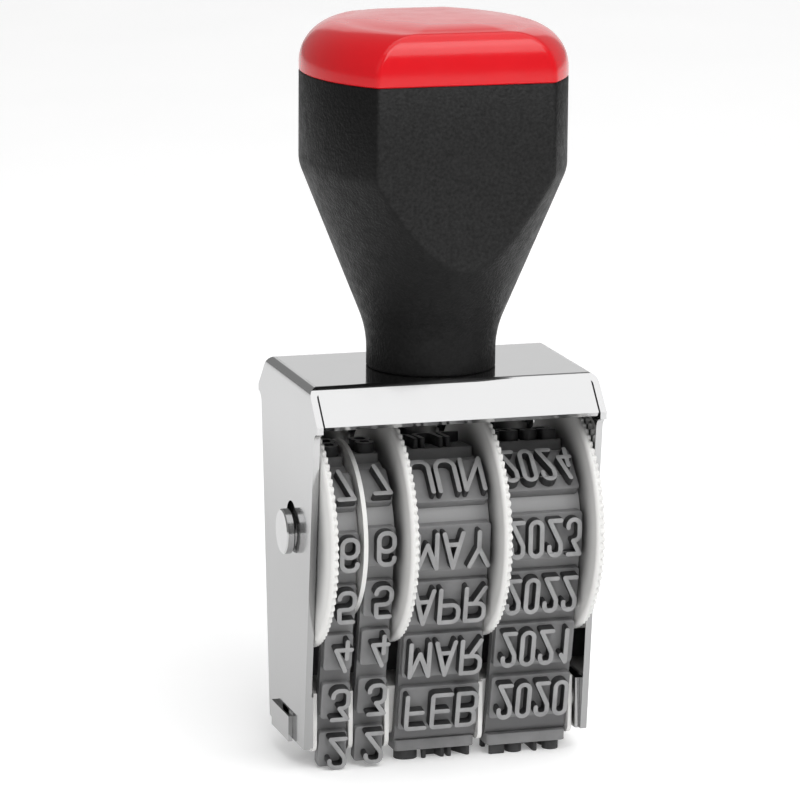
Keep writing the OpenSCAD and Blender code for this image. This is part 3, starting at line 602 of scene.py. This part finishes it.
def row_matrix(s):
    """Where a row lies at length s along the band's path, from the foot's middle up the front."""
    s -= loop_l * floor(s / loop_l)
    up, back = s - foot_half, loop_l - foot_half - s
    if up < 0 or back < 0:
        y, z, turn = (-s if up < 0 else loop_l - s), foot_z, 3 * pi / 2
    elif up < run_l:
        y, z, turn = -foot_half - up * sin(lean), foot_z + up * cos(lean), pi + lean
    elif back < run_l:
        y, z, turn = foot_half + back * sin(lean), foot_z + back * cos(lean), -lean
    else:
        turn = pi + lean - (up - run_l) / drum_mid
        y, z = drum_mid * cos(turn), axle_z + drum_mid * sin(turn)
    return Matrix.Translation((0, y, z)) @ Matrix.Rotation(turn - pi / 2, 4, "X")


def type_band(name, node, words, shift, pad_l, letter, step, aside=0.0):
    """One band: letter gives a character's width and height, step the way to the next one,
    and shift how far the first row stands past the foot's middle, in rows."""
    low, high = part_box(node)
    middle = (low[0] + high[0]) / 2
    pitch = loop_l / len(words)
    band = bare_band(name, low[0], high[0])
    pad = moulded_pad(high[0] - low[0] - 2 * pad_inset, pad_l)
    characters = {c: type_character(c, *letter) for c in sorted(set("".join(words)))}
    copies = []
    for k, word in enumerate(words):
        row = row_matrix((k + shift) * pitch) @ Matrix.Translation((middle, 0, 0))
        copies.append(placed_copy(pad, row))
        for i, c in enumerate(word):
            along = Matrix.Translation((aside + (i - (len(word) - 1) / 2) * step, 0, 0))
            copies.append(placed_copy(characters[c], row @ along))
    for template in (pad, *characters.values()):
        bpy.data.objects.remove(template)
    start_piece()
    for copy in copies:
        copy.select_set(True)
    band.select_set(True)
    bpy.context.view_layer.objects.active = band
    bpy.ops.object.join()
    bpy.ops.object.shade_smooth_by_angle(angle=radians(35))
    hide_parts(node)
    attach(band, "stamp_frame")


day_rows, word_rows = 13, 12
first_year, first_digit = 2019, 2
day_numbers = [(first_digit + k) % day_rows for k in range(day_rows)]
days = [str(number) if number < 10 else "" for number in day_numbers]
months = ("JAN", "FEB", "MAR", "APR", "MAY", "JUN", "JUL", "AUG", "SEP", "OCT", "NOV", "DEC")
years = [str(first_year + k) for k in range(word_rows)]
day_pad, word_pad = 4.45 * MM, 5.37 * MM
day_digit, day_aside = (1.8 * MM, 4.2 * MM), 0.3 * MM
month_letter, month_step = (2.2 * MM, 4.6 * MM), 3.05 * MM
year_digit, year_step = (1.35 * MM, 4.6 * MM), 2.25 * MM
type_band("tens_type_band", "tens_band", days, shift=0.47,
          pad_l=day_pad, letter=day_digit, step=0, aside=day_aside)
type_band("units_type_band", "units_band", days, shift=0.53,
          pad_l=day_pad, letter=day_digit, step=0, aside=day_aside)
type_band("month_type_band", "month_band", months, shift=0.1,
          pad_l=word_pad, letter=month_letter, step=month_step)
type_band("year_type_band", "year_band", years, shift=0.18,
          pad_l=word_pad, letter=year_digit, step=year_step)

# Handle: one black moulding with a fine spark-eroded grain, round at the neck and wider in two
# bowed sides higher up. The front and back flats cut it, and a screw holds it from below.
handle_y = 2.0 * MM
neck_r, neck_z, neck_top = 7.4 * MM, 45.4 * MM, 49.6 * MM
grip_z, grip_top = 68.7 * MM, 79.2 * MM
side_r, side_x, flat_y = 20.3 * MM, 5.3 * MM, 13.0 * MM
hollow_r, hollow_z = 9.5 * MM, 67.2 * MM
neck_ease, grip_ease, flat_ease = 2.2 * MM, 0.8 * MM, 0.45 * MM
neck_soft, mouth_soft, mouth_drop = 0.15 * MM, 0.15 * MM, 0.2 * MM
neck_steps, taper_steps, grip_steps, around = 6, 26, 4, 480
flat_reach = (flat_y - 0.2 * MM, flat_y - 0.03 * MM)
# Painted light: the flats' blacks are greyer than the sides', a painted sheen.
side_blacks = ((0.0003, 0.0003, 0.0003), (0.005, 0.005, 0.005))
sheen_flat_blacks = ((0.004, 0.004, 0.004), (0.017, 0.017, 0.017))


def bowed_side(angle, inset=0.0):
    """The point of the grip's two-arc section whose outward direction is the angle."""
    r = side_r - inset
    tip = acos(side_x / r)
    half_turn = (angle + pi / 2) % pi - pi / 2
    side = 1 if cos(angle) > 0 else -1
    if abs(half_turn) > tip:
        return Vector((0, (1 if sin(angle) > 0 else -1) * r * sin(tip)))
    return Vector((r * cos(angle) - side * side_x, r * sin(angle)))


def round_ring(r, z):
    """A round section of the handle or of the cap's plug."""
    return lambda angle: Vector((r * cos(angle), handle_y + r * sin(angle), z))


def flattened(y, limit):
    """The depth held back at a flat, with a soft change from the bowed side to the flat."""
    over = abs(y) - limit + flat_ease
    if over <= 0:
        return y
    left = max(0.0, 2 * flat_ease - over)
    held = limit - left ** 2 / (4 * flat_ease)
    return held if y > 0 else -held


def grip_ring(share, z, inset=0.0, flat_in=0.0):
    """A section between the round neck, at share 0, and the full bowed grip, at share 1."""
    def point(angle):
        bow = bowed_side(angle, inset) * share
        r = (1 - share) * neck_r
        y = flattened(bow.y + r * sin(angle), flat_y - flat_in)
        return Vector((bow.x + r * cos(angle), handle_y + y, z))
    return point


taper = grip_z - neck_top
handle_rings = [round_ring(neck_r - neck_soft, neck_z), round_ring(neck_r, neck_z + neck_soft)]
for k in range(-neck_steps, neck_steps + 1):
    rise = neck_ease * (1 + k / neck_steps)
    handle_rings.append(grip_ring(rise ** 2 / (4 * neck_ease * taper), neck_top - neck_ease + rise))
taper_foot, taper_head = neck_top + neck_ease, grip_z - grip_ease
for k in range(1, taper_steps):
    z = taper_foot + (taper_head - taper_foot) * k / taper_steps
    handle_rings.append(grip_ring((z - neck_top) / taper, z))
for k in range(-grip_steps, grip_steps + 1):
    left = grip_ease * (1 - k / grip_steps)
    share = 1 - left ** 2 / (4 * grip_ease * taper)
    handle_rings.append(grip_ring(share, grip_z + grip_ease - left))
handle_rings += [grip_ring(1, grip_top - mouth_drop),
                 grip_ring(1, grip_top, mouth_soft, mouth_soft),
                 round_ring(hollow_r, grip_top),
                 round_ring(hollow_r, hollow_z)]
handle = ringed_shell("moulded_handle", handle_rings, around)


def side_and_flat_tones(material, scale, side_tones, flat_tones):
    """One mottle for the bowed sides and a greyer one for the front and back flats, as painted
    sheen.
    """
    parts = material.node_tree.nodes.new("ShaderNodeSeparateXYZ")
    depth = material.node_tree.nodes.new("ShaderNodeMath")
    depth.operation = "ABSOLUTE"
    join(material, surface_point(material, (0, -handle_y, 0)), parts.inputs["Vector"])
    join(material, parts.outputs["Y"], depth.inputs[0])
    on_flat = spread(material, depth.outputs["Value"], flat_reach, (0, 1))
    blend = material.node_tree.nodes.new("ShaderNodeMix")
    blend.data_type = "RGBA"
    join(material, on_flat, blend.inputs["Factor"])
    speckle = noise(material, scale)
    colours = [socket for socket in blend.inputs if socket.type == "RGBA"]
    for colour, tones in zip(colours, (side_tones, flat_tones)):
        join(material, two_tones(material, speckle, noise_span, tones), colour)
    blended = [socket for socket in blend.outputs if socket.type == "RGBA"]
    join(material, blended[0], "Base Color")


black_moulding = new_finish("black_grained_moulding", roughness=0.45, specular=0.2)
side_and_flat_tones(black_moulding, scale=2800, side_tones=side_blacks, flat_tones=sheen_flat_blacks)
gloss_drift(black_moulding, scale=900, low=0.4, high=0.56)
grain(black_moulding, scale=3000, strength=0.9, depth=0.12 * MM)
handle.data.materials.append(black_moulding)
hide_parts("handle")
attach(handle, "stamp_frame")

# Handle screw and washer: plain turned steel, hidden inside the frame. The screw is driven up
# through the washer and the top plate into the handle.
plain_steel = new_finish("plain_steel", roughness=0.3, metallic=1.0)
mottle(plain_steel, scale=300, tones=((0.5, 0.5, 0.5), (0.6, 0.6, 0.61)))
gloss_drift(plain_steel, scale=1500, low=0.22, high=0.38)
grain(plain_steel, scale=4000, strength=0.08, depth=0.02 * MM)
for node in ("handle_screw", "screw_washer"):
    dress(node, plain_steel)

# Cap: a polished red moulding that plugs the handle's hollow with a ring. Its top edge is widely
# rounded at the bowed sides, and its flats run on from the handle's.
cap_straight, cap_round, cap_flat_round = 0.9 * MM, 5.0 * MM, 2.0 * MM
cap_round_h, cap_crown = 4.8 * MM, 0.5 * MM
plug_r, plug_in_r, plug_z = 9.45 * MM, 7.95 * MM, 74.2 * MM
plug_end_z, seat_z, seat_soft = grip_top - 0.1 * MM, grip_top + 0.02 * MM, 0.12 * MM
edge_steps, crown_steps = 18, 5
cap_rings = [round_ring(plug_in_r, plug_end_z), round_ring(plug_in_r, plug_z),
             round_ring(plug_r, plug_z), round_ring(plug_r, seat_z),
             grip_ring(1, seat_z, seat_soft, seat_soft), grip_ring(1, seat_z + seat_soft)]
edge_z = grip_top + cap_straight
for k in range(edge_steps + 1):
    a = pi / 2 * k / edge_steps
    drawn_in = 1 - cos(a)
    cap_rings.append(grip_ring(1, edge_z + cap_round_h * sin(a),
                               cap_round * drawn_in, cap_flat_round * drawn_in))
for k in range(1, crown_steps + 1):
    share = k / crown_steps
    cap_rings.append(grip_ring(1, edge_z + cap_round_h + cap_crown * (1 - (1 - share) ** 2),
                               cap_round * (1 + share), cap_flat_round * (1 + 2 * share)))
cap = ringed_shell("polished_cap", cap_rings, around)
red_moulding = new_finish("polished_red_moulding", roughness=0.16, specular=0.4)
mottle(red_moulding, scale=60, tones=((0.6, 0.003, 0.008), (0.66, 0.004, 0.01)))
gloss_drift(red_moulding, scale=300, low=0.13, high=0.2)
grain(red_moulding, scale=500, strength=0.03, depth=0.05 * MM)
cap.data.materials.append(red_moulding)
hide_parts("cap")
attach(cap, "stamp_frame")

# Studio: a wide flat sheet of pale paper that glows a little, so that it reads as white, under four
# soft lights in plain white air. A long lens looks from the front left and a little from above.
floor_size, floor_glow, air_glow = 4, 0.22, 0.32
start_piece()
bpy.ops.mesh.primitive_plane_add(size=floor_size, location=(0, 0, 0))
sweep = bpy.context.object
sweep.name = "studio_floor"
paper = new_finish("pale_paper", roughness=0.8)
mottle(paper, scale=20, tones=((0.96, 0.96, 0.96), (0.98, 0.98, 0.98)))
paper_shader = paper.node_tree.nodes["Principled BSDF"]
paper_shader.inputs["Emission Color"].default_value = (1, 1, 1, 1)
paper_shader.inputs["Emission Strength"].default_value = floor_glow
sweep.data.materials.append(paper)

world = bpy.data.worlds.new("studio_air")
bpy.context.scene.world = world
world.use_nodes = True
world.node_tree.nodes["Background"].inputs["Color"].default_value = (1, 1, 1, 1)
world.node_tree.nodes["Background"].inputs["Strength"].default_value = air_glow

aim, floor_aim = Vector((0, 0, 40 * MM)), Vector((0.1, -0.35, 0))
for name, place, target, size, power in (
        ("left_softbox", (-1.0, -0.6, 0.7), aim, 0.8, 0.6),
        ("front_softbox", (0.1, -0.45, 0.4), floor_aim, 0.4, 1.5),
        ("back_softbox", (0.35, 1.1, 0.36), aim, 0.65, 0.74),
        ("top_softbox", (0.2, -0.2, 1.1), aim, 1.6, 10.7)):
    light = bpy.data.lights.new(name, "AREA")
    light.shape = "SQUARE"
    light.size = size
    light.energy = power
    lamp = bpy.data.objects.new(name, light)
    lamp.location = place
    lamp.rotation_euler = (target - Vector(place)).to_track_quat("-Z", "Y").to_euler()
    bpy.context.collection.objects.link(lamp)

azimuth, elevation, roll = radians(17.1), radians(12.08), radians(-0.51)
distance = 500 * MM
look_at = Vector((0, 2.0 * MM, 41.18 * MM))
back = Vector((-sin(azimuth) * cos(elevation), -cos(azimuth) * cos(elevation), sin(elevation)))
right = Vector((cos(azimuth), -sin(azimuth), 0))
up = back.cross(right)
camera_x, camera_y = right * cos(roll) - up * sin(roll), right * sin(roll) + up * cos(roll)
lens = bpy.data.cameras.new("long_lens")
lens.lens = 196.2
lens.sensor_width = 36
lens.shift_x = -0.0378
camera = bpy.data.objects.new("long_lens", lens)
turned = Matrix((camera_x, camera_y, back)).transposed().to_4x4()
camera.matrix_world = Matrix.Translation(look_at + back * distance) @ turned
bpy.context.collection.objects.link(camera)
bpy.context.scene.camera = camera
bpy.context.scene.view_settings.view_transform = "Standard"
